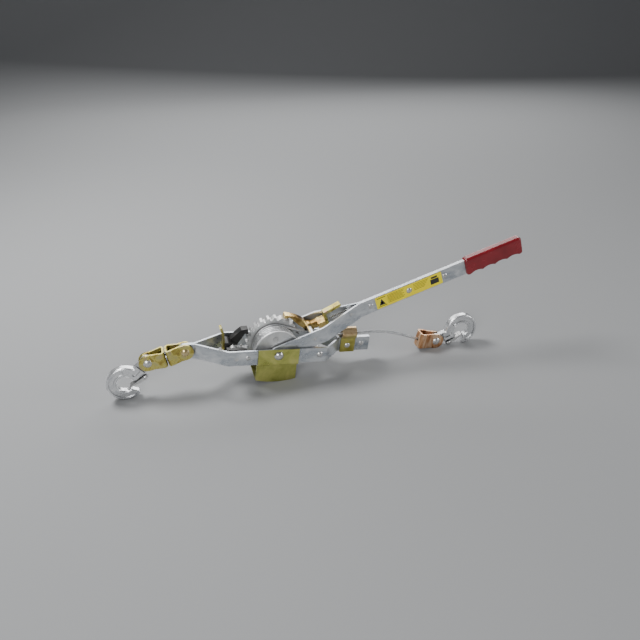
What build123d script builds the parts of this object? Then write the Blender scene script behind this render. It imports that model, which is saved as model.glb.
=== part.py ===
"""Come along winch: a hand cable puller with a ratchet drum, a forked handle and two swivel hooks.

Everything is drawn in axle coordinates, in millimetres: the origin is the centre of the drum axle, X runs
along the frame towards the cable, Y across it to the far side, and Z up. The last function turns the whole
winch to the attitude in which it lies on a floor, tail down, and sets its lowest points on Z = 0, with the
origin in the middle of its footprint.
"""
from build123d import *
import os
from math import atan2, cos, degrees, hypot, pi, radians, sin, tan

# Attitude on the floor
LYING_TILT = 7.24  # the frame dips towards its tail

# Fits
RUNNING = 0.10  # radial clearance of a pin in a part that turns on it
SIDE_GAP = 0.30  # between parts that slide past each other
NODE_GAP = 0.40  # between loose rounded parts

# Frame: two flat steel straps, back to back at both ends and apart round the drum
STRAP_HEIGHT = 25.4
STRAP_THICK = 3.2
STRAP_BEND = 6.0
FRAME_HALF_WIDTH = 32.1
FRAME_DROP = 3.0  # the straps' mid height lies this far below the axle
FRAME_BEND_LEFT = -79.2
FRAME_BEND_RIGHT = 79.9
FRAME_MEET_LEFT = -128.1
FRAME_MEET_RIGHT = 108.3
TONGUE_PIN_X = -142.6
TAIL_END = 162.9
TAIL_RIVET_X = 149.4
SPACER_X = 68.2
SPACER_Z = -2.5
SPACER_RADIUS = 5.0
STUD_X = -48.8

# Rivets and pins
RIVET_RADIUS = 3.0
RIVET_HEAD_RADIUS = 5.2
RIVET_HEAD_HEIGHT = 2.4
AXLE_RADIUS = 6.0
AXLE_HEAD_RADIUS = 8.0
AXLE_HEAD_HEIGHT = 4.5
AXLE_NUT_RADIUS = 10.5
AXLE_NUT_HEIGHT = 4.0
PAWL_PIN_RADIUS = 3.2
CLEVIS_PIN_RADIUS = 4.0
CLEVIS_PIN_HEAD = 6.6

# Guard: a folded cradle under the drum
GUARD_SHEET = 2.0
GUARD_HALF_LENGTH = 33.0
GUARD_TOP = 10.6
GUARD_WELL_HALF_WIDTH = 26.0
GUARD_END_Z = -49.4
GUARD_BOW = 4.4  # the floor of the cradle bows down by this much

# Drum
FLANGE_RADIUS = 38.0
FLANGE_OUTER_Y = -23.4
FLANGE_THICK = 3.5
FLANGE_RIM = 3.0
FLANGE_DISH = 1.2
BARREL_RADIUS = 15.5
WHEEL_INNER_Y = 8.0
WHEEL_THICK = 12.0
WHEEL_TIP_RADIUS = 45.0
WHEEL_ROOT_RADIUS = 40.6
TOOTH_COUNT = 24
TOOTH_PHASE = 11.6  # angle of one tooth's steep face, so that both noses lie over a gap
TOOTH_LAND = 5.0
TOOTH_BACK = 6.0
HUB_RADIUS = 11.0
BUSH_WALL = 2.0

# Wire rope
ROPE_DIAMETER = 5.0
ROPE_LAYERS = 4
LEAD_WRAP_START = 200.0  # the last turn starts here, at an angle about the axle
LEAD_WRAP_END = 73.0  # and leaves the drum here
LEAD_DIP = (64.0, 14.95)  # in X and Z, under the drive pawl's pin
LEAD_BEND = 60.0
LEAD_INTO_GUIDE = (100.0, 0.0, 13.2)
ROPE_ROUTE = [
    (137.5, 0.0, 15.9),
    (150.0, 0.0, 16.8),
    (166.5, 0.0, 17.6),
    (184.0, 0.0, 17.0),
    (201.0, 0.0, 14.6),
    (217.0, 0.0, 10.7),
    (231.5, 0.0, 6.2),
    (243.5, 0.0, 2.1),
    (252.5, 0.0, -0.5),
    (261.3, 0.0, -1.9),
    (269.8, 0.0, -2.9),
]

# Rope guide: a folded arch riveted over the tail
GUIDE_START = 112.0
GUIDE_END = 137.0
GUIDE_SHEET = 1.9
GUIDE_RADIUS = 10.2
GUIDE_CENTRE_Z = 17.3
GUIDE_LEG_END = -17.0
GUIDE_RIVET_X = 124.1
GUIDE_RIVET_Z = -4.7

# Handle: two straps, forked round the drum and back to back under the grip
HANDLE_ANGLE = 23.3
FORK_BEND = 82.0
FORK_MEET = 152.0
HANDLE_END = 441.0
HANDLE_RIVETS = (169.8, 238.6, 303.5)
LABEL_START = 179.0
LABEL_END = 298.0
LABEL_HEIGHT = 22.4
LABEL_THICK = 0.3
GRIP_START = 341.0
GRIP_END = 444.5
GRIP_HEIGHT = 31.4
GRIP_WIDTH = 15.4
GRIP_GROOVES = 4
GRIP_GROOVE_DEPTH = 3.0

# Drive pawl, on the handle
DRIVE_PIN_U = 63.0
DRIVE_NEAR_Y = 8.3
DRIVE_FAR_Y = 21.0
DRIVE_HUB_RADIUS = 8.0
DRIVE_NOSE_ANGLE = 71.0
PAWL_CLEAR = 0.6  # a stowed pawl stands this far off the tooth tips
LEVER_U = 95.7
LEVER_TOP = 22.0
LEVER_LENGTH = 32.0
LEVER_THICK = 4.5
LEVER_WIDTH = 11.0
LEVER_MID_Y = 3.5
DRIVE_SPRING_START = 99.5
DRIVE_SPRING_END = 130.0
DRIVE_SPRING_RADIUS = 4.4
DRIVE_SPRING_WIRE = 1.3
DRIVE_SPRING_Y = 2.0
DRIVE_SPRING_V = 4.5

# Holding pawl, on the frame
HOLD_PIN_X = -66.5
HOLD_PIN_Z = -4.0
HOLD_HUB_RADIUS = 8.0
HOLD_NOSE_ANGLE = 158.0
HOLD_HALF_WIDTH = 24.4
HOLD_SPRING_NEAR = -14.0  # the pawl is cut away between these for its spring
HOLD_SPRING_FAR = -1.0
HOLD_SPRING_WIRE = 1.8
HOLD_SPRING_TURNS = 6
HOLD_LEVER_TOP = 34.0
HOLD_LEVER_WIDTH = 12.0

# Clevises
CLEVIS_SHEET = 3.0
CLEVIS_WIDTH = 26.5
CLEVIS_BACK_HALF = 11.5
CLEVIS_CORNER = 2.6
CLEVIS_REACH = 28.7
CABLE_CLEVIS_REACH = 34.0
SWIVEL_GAP = 1.6
CHAIN_ANGLE = 16.0
CABLE_END_ANGLE = -6.0
CABLE_PIN = (288.5, -4.8)
SWIVEL_RADIUS = 4.0
SWIVEL_HEAD_RADIUS = 5.8
SWIVEL_HEAD = 3.0
STOP_RADIUS = 5.2
STOP_LENGTH = 11.0  # ends flush with the rope

# Hooks
HOOK_REACH = 49.4
HOOK_OUTER = 29.0
HOOK_BOWL = 13.0
HOOK_THICK = 12.0
HOOK_EYE_RADIUS = 11.5
HOOK_EYE_THICK = 7.4
HOOK_SHANK = 9.0
HOOK_TIP_ANGLE = 259.0
HOOK_LIP_ANGLE = 274.0
HOOK_HEEL_ANGLE = 208.0
HOOK_PANEL_DEPTH = 1.6
HOOK_ROUNDING = 2.4
ANCHOR_HOOK_TURN = 30.8
CABLE_HOOK_TURN = 30.65
LATCH_PIVOT = (21.5, -15.4)
LATCH_PIN_RADIUS = 1.8
LATCH_LUG_RADIUS = 4.6
LATCH_LUG_HALF = 1.8
LATCH_SPRING_WIRE = 0.8
LATCH_SPRING_LENGTH = 1.0
LATCH_SHEET = 1.3
LATCH_HALF_WIDTH = 5.2
LATCH_DEPTH = 6.0

# Worked out from the sizes above
FRAME_INNER = FRAME_HALF_WIDTH - STRAP_THICK
FORK_OUTER = FRAME_INNER - SIDE_GAP
FORK_INNER = FORK_OUTER - STRAP_THICK
GUARD_OUTER = FRAME_HALF_WIDTH + GUARD_SHEET
ROPE_RADIUS = ROPE_DIAMETER / 2
WINDING_RADIUS = BARREL_RADIUS + ROPE_LAYERS * ROPE_DIAMETER
LEAD_RADIUS = WINDING_RADIUS - ROPE_RADIUS
LEAD_Y = WHEEL_INNER_Y - ROPE_RADIUS - SIDE_GAP
TONGUE_PIN = (TONGUE_PIN_X, -FRAME_DROP)


def side_plane(y):
    """A plane across the winch at y, with its own x along X and its own y along Z."""
    return Plane(origin=(0, y, 0), x_dir=(1, 0, 0), z_dir=(0, -1, 0))


def slab(outline, y_near, y_far):
    """An outline in X and Z, given thickness from y_near to y_far."""
    return extrude(side_plane(y_near) * outline, amount=y_near - y_far)


def disc(x, z, radius, y_near, y_far):
    return slab(Pos(x, z) * Circle(radius), y_near, y_far)


def tube(x, z, outer, inner, y_near, y_far):
    return slab(Pos(x, z) * (Circle(outer) - Circle(inner)), y_near, y_far)


def polygon(*points):
    return make_face(Polyline(*points, close=True))


def polar(radius, angle):
    return (radius * cos(radians(angle)), radius * sin(radians(angle)))


def mirrored(shape):
    """The same piece on the far side of the winch."""
    return mirror(shape, about=Plane.XZ)


def dome(x, z, radius, height, y_face, side):
    """A domed rivet head that stands on y_face and points to the near side (-1) or the far side (1)."""
    ball_radius = (radius**2 + height**2) / (2 * height)
    ball = Pos(x, y_face + side * (height - ball_radius), z) * Sphere(ball_radius)
    return ball & disc(x, z, radius, min(y_face, y_face + side * height), max(y_face, y_face + side * height))


def rivet(x, z, radius, head, y_near, y_far, height=RIVET_HEAD_HEIGHT):
    """A shank from y_near to y_far with a domed head on each end."""
    shank = disc(x, z, radius, y_near, y_far)
    return shank + dome(x, z, head, height, y_near, -1) + dome(x, z, head, height, y_far, 1)


def bent_strap(points, z):
    """A flat strap on edge, bent along points in X and Y."""
    path = FilletPolyline(*[(x, y, z) for x, y in points], radius=STRAP_BEND)
    start = Plane(origin=path @ 0, x_dir=(0, 0, 1), z_dir=path % 0)
    return sweep(start * Rectangle(STRAP_HEIGHT, STRAP_THICK), path=path)


def coil(radius, wire, pitch, length):
    """A coil spring along Z from the origin."""
    path = Helix(pitch=pitch, height=length, radius=radius)
    start = Plane(origin=path @ 0, z_dir=path % 0)
    return sweep(start * Circle(wire / 2), path=path, is_frenet=True)


# Frame ------------------------------------------------------------------------------------------------------


def frame_strap_near():
    half = STRAP_THICK / 2
    wide = FRAME_HALF_WIDTH - half
    tongue_end = TONGUE_PIN_X - STRAP_HEIGHT / 2
    strap = bent_strap(
        [
            (tongue_end, -half),
            (FRAME_MEET_LEFT, -half),
            (FRAME_BEND_LEFT, -wide),
            (FRAME_BEND_RIGHT, -wide),
            (FRAME_MEET_RIGHT, -half),
            (TAIL_END, -half),
        ],
        -FRAME_DROP,
    )
    corner = polygon(
        (tongue_end, -FRAME_DROP - STRAP_HEIGHT),
        (TONGUE_PIN_X, -FRAME_DROP - STRAP_HEIGHT),
        (TONGUE_PIN_X, -FRAME_DROP + STRAP_HEIGHT),
        (tongue_end, -FRAME_DROP + STRAP_HEIGHT),
    )
    round_end = corner - Pos(TONGUE_PIN_X, -FRAME_DROP) * Circle(STRAP_HEIGHT / 2)
    strap -= slab(round_end, -STRAP_THICK - 1, 1)
    holes = [
        (TONGUE_PIN[0], TONGUE_PIN[1], CLEVIS_PIN_RADIUS + RUNNING),
        (HOLD_PIN_X, HOLD_PIN_Z, PAWL_PIN_RADIUS),
        (STUD_X, -FRAME_DROP, RIVET_RADIUS),
        (0, 0, AXLE_RADIUS),
        (SPACER_X, SPACER_Z, RIVET_RADIUS),
        (GUIDE_RIVET_X, GUIDE_RIVET_Z, RIVET_RADIUS),
        (TAIL_RIVET_X, -FRAME_DROP, RIVET_RADIUS),
    ]
    for x, z, radius in holes:
        strap -= disc(x, z, radius, -FRAME_HALF_WIDTH - 1, 1)
    return strap


def frame_spacer():
    """The tube that keeps the straps apart beside the drum, on the side of the cable."""
    return tube(SPACER_X, SPACER_Z, SPACER_RADIUS, RIVET_RADIUS, -FRAME_INNER, FRAME_INNER)


def frame_rivets():
    """The rivet through the spacer, the stud beside the drum and the rivet of the tail."""
    through = rivet(
        SPACER_X, SPACER_Z, RIVET_RADIUS, RIVET_HEAD_RADIUS, -FRAME_HALF_WIDTH, FRAME_HALF_WIDTH
    )
    near_stud = rivet(STUD_X, -FRAME_DROP, RIVET_RADIUS, 4.0, -FRAME_HALF_WIDTH, -FRAME_INNER, 1.2)
    tail = rivet(TAIL_RIVET_X, -FRAME_DROP, RIVET_RADIUS, 4.2, -STRAP_THICK, STRAP_THICK, 1.4)
    return Compound([through, near_stud, mirrored(near_stud), tail])


def drum_guard():
    """A folded sheet: flanges outside the straps, a step under them, and a well round the drum."""
    step_z = -FRAME_DROP - STRAP_HEIGHT / 2
    lower = GUARD_END_Z
    half = GUARD_HALF_LENGTH
    inner = GUARD_WELL_HALF_WIDTH - GUARD_SHEET
    length = 2 * half
    flange = Pos(0, 0, (GUARD_TOP + step_z - GUARD_SHEET) / 2) * Box(
        length, 2 * GUARD_OUTER, GUARD_TOP - step_z + GUARD_SHEET
    )
    flange -= Pos(0, 0, (GUARD_TOP + step_z) / 2 + 5) * Box(
        length + 2, 2 * FRAME_HALF_WIDTH, GUARD_TOP - step_z + 10
    )
    outer_arc = ThreePointArc((half, lower), (0, lower - GUARD_BOW), (-half, lower))
    well_outline = make_face(
        Curve() + [outer_arc, Polyline((-half, lower), (-half, step_z), (half, step_z), (half, lower))]
    )
    well = slab(well_outline, -GUARD_WELL_HALF_WIDTH, GUARD_WELL_HALF_WIDTH)
    inner_arc = ThreePointArc(
        (half + 1, lower + GUARD_SHEET), (0, lower + GUARD_SHEET - GUARD_BOW), (-half - 1, lower + GUARD_SHEET)
    )
    hollow_outline = make_face(
        Curve()
        + [
            inner_arc,
            Polyline(
                (-half - 1, lower + GUARD_SHEET), (-half - 1, 0), (half + 1, 0), (half + 1, lower + GUARD_SHEET)
            ),
        ]
    )
    hollow = slab(hollow_outline, -inner, inner)
    guard = flange + well - hollow
    step_edges = guard.edges().filter_by(Axis.X).filter_by(
        lambda e: abs(abs(e.center().Y) - GUARD_OUTER) < 0.01 and e.center().Z < step_z
    )
    guard = fillet(step_edges, GUARD_SHEET * 0.9)
    return guard - disc(0, 0, AXLE_RADIUS, -GUARD_OUTER - 1, GUARD_OUTER + 1)


def axle_bolt():
    head = side_plane(-GUARD_OUTER) * RegularPolygon(AXLE_HEAD_RADIUS, 6)
    head = extrude(head, amount=AXLE_HEAD_HEIGHT)
    head &= dome(0, 0, AXLE_HEAD_RADIUS, AXLE_HEAD_HEIGHT, -GUARD_OUTER, -1)
    shank = disc(0, 0, AXLE_RADIUS, -GUARD_OUTER, GUARD_OUTER + AXLE_HEAD_HEIGHT)
    return shank + head


def axle_nut():
    nut = extrude(side_plane(GUARD_OUTER) * RegularPolygon(AXLE_NUT_RADIUS, 6), amount=-AXLE_NUT_HEIGHT)
    return nut - disc(0, 0, AXLE_RADIUS, GUARD_OUTER, GUARD_OUTER + AXLE_NUT_HEIGHT)


def holding_pawl_pin():
    return rivet(HOLD_PIN_X, HOLD_PIN_Z, PAWL_PIN_RADIUS, 5.0, -FRAME_HALF_WIDTH, FRAME_HALF_WIDTH, 1.8)


def cable_guide():
    """An arch for the rope, with two legs down the sides of the tail."""
    section = Plane(origin=(GUIDE_START, 0, 0), x_dir=(0, 1, 0), z_dir=(1, 0, 0))
    leg_outer = STRAP_THICK + GUIDE_SHEET
    inner_radius = GUIDE_RADIUS - GUIDE_SHEET
    arch = Pos(0, GUIDE_CENTRE_Z) * (Circle(GUIDE_RADIUS) - Circle(inner_radius))
    neck_z = GUIDE_CENTRE_Z - (inner_radius**2 - STRAP_THICK**2) ** 0.5
    arch -= Pos(0, neck_z - 5) * Rectangle(2 * STRAP_THICK, 2 * GUIDE_SHEET + 10)
    leg_height = neck_z - GUIDE_LEG_END
    legs = Pos(0, GUIDE_LEG_END + leg_height / 2) * (
        Rectangle(2 * leg_outer, leg_height) - Rectangle(2 * STRAP_THICK, leg_height)
    )
    guide = extrude(section * (arch + legs), amount=GUIDE_END - GUIDE_START)
    return guide - disc(GUIDE_RIVET_X, GUIDE_RIVET_Z, RIVET_RADIUS, -leg_outer - 1, leg_outer + 1)


def cable_guide_rivet():
    leg_outer = STRAP_THICK + GUIDE_SHEET
    return rivet(GUIDE_RIVET_X, GUIDE_RIVET_Z, RIVET_RADIUS, 4.6, -leg_outer, leg_outer, 2.0)


# Drum -------------------------------------------------------------------------------------------------------


def ratchet_outline():
    """Saw teeth: a steep face on one side, a land on top, a sloping back and a short root."""
    pitch = 360 / TOOTH_COUNT
    points = []
    for tooth in range(TOOTH_COUNT):
        start = TOOTH_PHASE + tooth * pitch
        points.append(polar(WHEEL_ROOT_RADIUS, start))
        points.append(polar(WHEEL_TIP_RADIUS, start + 0.4))
        points.append(polar(WHEEL_TIP_RADIUS, start + TOOTH_LAND))
        points.append(polar(WHEEL_ROOT_RADIUS, start + TOOTH_LAND + TOOTH_BACK))
    return polygon(*points)


def cable_drum():
    """One casting: a near flange, a barrel and the ratchet wheel on the far side."""
    wheel_outer = WHEEL_INNER_Y + WHEEL_THICK
    bush = AXLE_RADIUS + RUNNING + BUSH_WALL
    drum = slab(ratchet_outline(), WHEEL_INNER_Y, wheel_outer)
    pocket = Circle(WHEEL_ROOT_RADIUS - 5) - Circle(HUB_RADIUS + 3)
    drum -= slab(pocket, WHEEL_INNER_Y + 4, wheel_outer + 1)
    drum += disc(0, 0, BARREL_RADIUS, FLANGE_OUTER_Y + 1, WHEEL_INNER_Y + 1)
    flange = disc(0, 0, FLANGE_RADIUS, FLANGE_OUTER_Y, FLANGE_OUTER_Y + FLANGE_THICK)
    rim = flange.edges().filter_by(GeomType.CIRCLE)
    flange = fillet(rim, FLANGE_THICK * 0.4)
    dish = Circle(FLANGE_RADIUS - FLANGE_RIM) - Circle(HUB_RADIUS)
    flange -= slab(dish, FLANGE_OUTER_Y - 1, FLANGE_OUTER_Y + FLANGE_DISH)
    drum += flange
    screw_x, screw_z = clamp_screw_place()
    drum += disc(screw_x, screw_z, 4.2, FLANGE_OUTER_Y + 0.2, FLANGE_OUTER_Y + FLANGE_DISH + 0.2)
    drum += disc(0, 0, HUB_RADIUS, -FORK_INNER + SIDE_GAP, FORK_INNER - SIDE_GAP)
    drum -= disc(screw_x, screw_z, 2.0, FLANGE_OUTER_Y - 1, FLANGE_OUTER_Y + FLANGE_THICK + 0.01)
    return drum - disc(0, 0, bush, -FORK_INNER, FORK_INNER)


def clamp_screw_place():
    return polar(24.0, 101.0)


def cable_clamp_screw():
    """The screw in the near flange that holds the rope's inner end."""
    x, z = clamp_screw_place()
    head = disc(x, z, 3.2, FLANGE_OUTER_Y - 0.4, FLANGE_OUTER_Y + 0.2)
    return head + disc(x, z, 2.0, FLANGE_OUTER_Y, FLANGE_OUTER_Y + FLANGE_THICK)


def drum_bush():
    inner = AXLE_RADIUS + RUNNING
    end = FORK_INNER - SIDE_GAP
    return tube(0, 0, inner + BUSH_WALL, inner, -end, end)


def cable_winding():
    """The rope on the barrel; its last turn lies in a slot beside the ratchet wheel."""
    near = FLANGE_OUTER_Y + FLANGE_THICK
    slot = LEAD_Y - ROPE_RADIUS - SIDE_GAP
    full = tube(0, 0, WINDING_RADIUS, BARREL_RADIUS, near, slot)
    below = WINDING_RADIUS - ROPE_DIAMETER - SIDE_GAP
    return full + tube(0, 0, below, BARREL_RADIUS, slot, WHEEL_INNER_Y)


# Rope -------------------------------------------------------------------------------------------------------


def route_radii(points):
    """Each arc is as large as its two runs allow."""
    radii = []
    for before, here, after in zip(points, points[1:], points[2:]):
        run_in = Vector(*here) - Vector(*before)
        run_out = Vector(*after) - Vector(*here)
        half_turn = radians(run_in.get_angle(run_out)) / 2
        radii.append(0.45 * min(run_in.length, run_out.length) / tan(half_turn))
    return radii


def rope_along(points, radii):
    path = FilletPolyline(*points, radius=radii)
    start = Plane(origin=path @ 0, z_dir=path % 0)
    solid = sweep(start * Circle(ROPE_RADIUS), path=path)
    section = pi * ROPE_RADIUS**2
    print(f"rope length {path.length:.1f}, volume / (section x length) {solid.volume / section / path.length:.4f}")
    return solid


def cable_lead():
    """The last turn on the drum and the run under the drive pawl's pin into the guide."""
    tangents = 3
    step = (LEAD_WRAP_START - LEAD_WRAP_END) / tangents
    corner_radius = LEAD_RADIUS / cos(radians(step / 2))
    start_x, start_z = polar(LEAD_RADIUS, LEAD_WRAP_START)
    points = [(start_x, LEAD_Y, start_z)]
    for corner in range(tangents):
        x, z = polar(corner_radius, LEAD_WRAP_START - (corner + 0.5) * step)
        points.append((x, LEAD_Y, z))
    dip_x, dip_z = LEAD_DIP
    points += [(dip_x, LEAD_Y, dip_z), LEAD_INTO_GUIDE, ROPE_ROUTE[0]]
    radii = [LEAD_RADIUS * 0.98] * tangents + [LEAD_BEND] * 2
    return rope_along(points, radii)


def cable_free():
    """The rope between the guide and the clevis, lying slack."""
    radii = route_radii(ROPE_ROUTE)
    print("free rope radii", [round(r) for r in radii])
    return rope_along(ROPE_ROUTE, radii)


# Handle -----------------------------------------------------------------------------------------------------


def on_handle(shape):
    """From handle coordinates, with X along the handle, to its stowed angle."""
    return Rot(0, -HANDLE_ANGLE, 0) * shape


def handle_strap_flat():
    half = STRAP_THICK / 2
    wide = FORK_OUTER - half
    rear = -STRAP_HEIGHT / 2
    strap = bent_strap([(rear, -wide), (FORK_BEND, -wide), (FORK_MEET, -half), (HANDLE_END, -half)], 0)
    corner = polygon(
        (rear, -STRAP_HEIGHT), (0, -STRAP_HEIGHT), (0, STRAP_HEIGHT), (rear, STRAP_HEIGHT)
    ) - Circle(STRAP_HEIGHT / 2)
    strap -= slab(corner, -FORK_OUTER - 1, 1)
    strap -= disc(0, 0, AXLE_RADIUS + RUNNING, -FORK_OUTER - 1, 0)
    strap -= disc(DRIVE_PIN_U, 0, PAWL_PIN_RADIUS, -FORK_OUTER - 1, 0)
    for u in HANDLE_RIVETS:
        strap -= disc(u, 0, RIVET_RADIUS, -STRAP_THICK - 1, 1)
    anchor_half = fork_inner_at(DRIVE_SPRING_END + 3)
    strap -= disc(DRIVE_SPRING_END + 3, DRIVE_SPRING_V, RIVET_RADIUS, -anchor_half - 9, 0)
    return strap


def handle_strap_near():
    return on_handle(handle_strap_flat())


def handle_strap_far():
    return on_handle(mirrored(handle_strap_flat()))


def fork_inner_at(u):
    """Half of the free width between the fork's straps at a place along the handle."""
    taper = (FORK_OUTER - STRAP_THICK) / (FORK_MEET - FORK_BEND)
    return (FORK_MEET - u) * taper


def handle_rivets():
    rivets = [
        rivet(u, 0, RIVET_RADIUS, 4.2, -STRAP_THICK, STRAP_THICK, 1.4) for u in HANDLE_RIVETS
    ]
    return on_handle(Compound(rivets))


def handle_label():
    length = LABEL_END - LABEL_START
    plate = Pos((LABEL_START + LABEL_END) / 2, 0) * RectangleRounded(length, LABEL_HEIGHT, 1.5)
    window = Pos(HANDLE_RIVETS[1], 0) * Circle(5.0)
    return on_handle(slab(plate - window, -STRAP_THICK - LABEL_THICK, -STRAP_THICK))


def handle_grip():
    """A dipped sleeve with finger grooves along its lower edge."""
    length = GRIP_END - GRIP_START
    top = GRIP_HEIGHT / 2
    pitch = length / (GRIP_GROOVES + 0.6)
    radius = ((pitch / 2) ** 2 + GRIP_GROOVE_DEPTH**2) / (2 * GRIP_GROOVE_DEPTH)
    outline = Pos((GRIP_START + GRIP_END) / 2, 0) * RectangleRounded(length, GRIP_HEIGHT, 5.0)
    for groove in range(GRIP_GROOVES):
        u = GRIP_START + (groove + 0.8) * pitch
        outline -= Pos(u, -top - radius + GRIP_GROOVE_DEPTH) * Circle(radius)
    sleeve = slab(outline, -GRIP_WIDTH / 2, GRIP_WIDTH / 2)
    face_edges = sleeve.edges().filter_by(
        lambda e: abs(abs(e.center().Y) - GRIP_WIDTH / 2) < 0.01
    )
    sleeve = fillet(face_edges, 3.6)
    core_length = HANDLE_END - GRIP_START + 1
    core = Pos(GRIP_START - 1 + core_length / 2, 0, 0) * Box(core_length, 2 * STRAP_THICK, STRAP_HEIGHT)
    return on_handle(sleeve - core)


def drive_pawl_pin():
    return on_handle(rivet(DRIVE_PIN_U, 0, PAWL_PIN_RADIUS, 5.5, -FORK_OUTER, FORK_OUTER))


def drive_pawl_spacer():
    end = DRIVE_NEAR_Y - SIDE_GAP
    return on_handle(tube(DRIVE_PIN_U, 0, PAWL_PIN_RADIUS + 1.4, PAWL_PIN_RADIUS, -FORK_INNER, end))


# Drive pawl -------------------------------------------------------------------------------------------------


def pawl_nose(angle):
    """The beak of a pawl: a square front that pushes a tooth, and an underside that rises behind it."""
    low = WHEEL_TIP_RADIUS + PAWL_CLEAR
    rise = WHEEL_TIP_RADIUS - WHEEL_ROOT_RADIUS
    behind = 360 / TOOTH_COUNT * 0.62
    return [
        polar(low + rise + 0.5, angle - behind),
        polar(low, angle - 1.5),
        polar(low, angle),
        polar(low + rise + 1.2, angle + 1.0),
    ]


def drive_pin():
    """The drive pawl's pin, in axle coordinates."""
    return polar(DRIVE_PIN_U, HANDLE_ANGLE)


def drive_pawl():
    """A curved beak over the wheel, its hub, and a tail that carries the lever."""
    pin_x, pin_z = drive_pin()
    nose = pawl_nose(DRIVE_NOSE_ANGLE)
    back_mid = polar(WHEEL_TIP_RADIUS + 12.5, DRIVE_NOSE_ANGLE - 22)
    back_end = polar(WHEEL_TIP_RADIUS + 18.5, DRIVE_NOSE_ANGLE - 38)
    under_mid = polar(WHEEL_TIP_RADIUS + 4.5, DRIVE_NOSE_ANGLE - 30)
    under_end = (pin_x - HUB_RADIUS * 0.7, pin_z - 2.0)
    back = ThreePointArc(nose[3], back_mid, back_end)
    under = ThreePointArc(under_end, under_mid, nose[0])
    edges = Polyline(back_end, (pin_x, pin_z), under_end)
    front = Polyline(*nose)
    arm = make_face(Curve() + [front, back, edges, under])
    pawl = slab(arm, DRIVE_NEAR_Y, DRIVE_FAR_Y)
    pawl += disc(pin_x, pin_z, DRIVE_HUB_RADIUS, DRIVE_NEAR_Y, DRIVE_FAR_Y)
    tail = polygon((DRIVE_PIN_U, 5.5), (LEVER_U - LEVER_THICK, 6.5), (LEVER_U - LEVER_THICK, -4.5), (DRIVE_PIN_U, -6.5))
    pawl += on_handle(slab(tail, DRIVE_NEAR_Y, DRIVE_FAR_Y - 3))
    seat = polygon(
        (LEVER_U - LEVER_THICK - 13, 6.2),
        (LEVER_U - LEVER_THICK, 6.5),
        (LEVER_U - LEVER_THICK, -4.5),
        (LEVER_U - LEVER_THICK - 13, -4.9),
    )
    pawl += on_handle(slab(seat, LEVER_MID_Y - LEVER_WIDTH / 2, DRIVE_FAR_Y - 3))
    return pawl - disc(pin_x, pin_z, PAWL_PIN_RADIUS + RUNNING, DRIVE_NEAR_Y - 1, DRIVE_FAR_Y + 1)


def drive_pawl_lever():
    """An L of sheet: the stem stands on the pawl's tail and the thumb pad runs back over the handle."""
    stem_start = LEVER_U - LEVER_THICK
    side = polygon(
        (stem_start, -4.5),
        (stem_start, LEVER_TOP),
        (stem_start + LEVER_LENGTH, LEVER_TOP + 4.0),
        (stem_start + LEVER_LENGTH, LEVER_TOP + 4.0 - LEVER_THICK),
        (LEVER_U, LEVER_TOP - LEVER_THICK),
        (LEVER_U, -4.5),
    )
    lever = slab(side, LEVER_MID_Y - LEVER_WIDTH / 2, LEVER_MID_Y + LEVER_WIDTH / 2)
    corners = lever.edges().filter_by(Axis.Y).filter_by(lambda e: e.center().Z > LEVER_TOP - LEVER_THICK - 0.5)
    return on_handle(fillet(corners, 1.6))


def drive_pawl_spring():
    length = DRIVE_SPRING_END - DRIVE_SPRING_START
    spring = coil(DRIVE_SPRING_RADIUS - DRIVE_SPRING_WIRE / 2, DRIVE_SPRING_WIRE, 2.6, length)
    return on_handle(Pos(DRIVE_SPRING_START, DRIVE_SPRING_Y, DRIVE_SPRING_V) * Rot(0, 90, 0) * spring)


def drive_spring_anchor():
    """A cross pin in the fork, with a guide rod for the spring."""
    u = DRIVE_SPRING_END + 3
    half = fork_inner_at(u) - 0.2
    pin = disc(u, DRIVE_SPRING_V, RIVET_RADIUS, -half - STRAP_THICK, half + STRAP_THICK)
    rod_start = DRIVE_SPRING_START + 12
    rod_length = u - rod_start
    rod = Pos(rod_start + rod_length / 2, DRIVE_SPRING_Y, DRIVE_SPRING_V) * Rot(0, 90, 0) * Cylinder(1.8, rod_length)
    collar = Pos(DRIVE_SPRING_END + 0.75, DRIVE_SPRING_Y, DRIVE_SPRING_V) * Rot(0, 90, 0) * Cylinder(4.2, 1.5)
    return on_handle(pin + rod + collar)


# Holding pawl -----------------------------------------------------------------------------------------------


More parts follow.
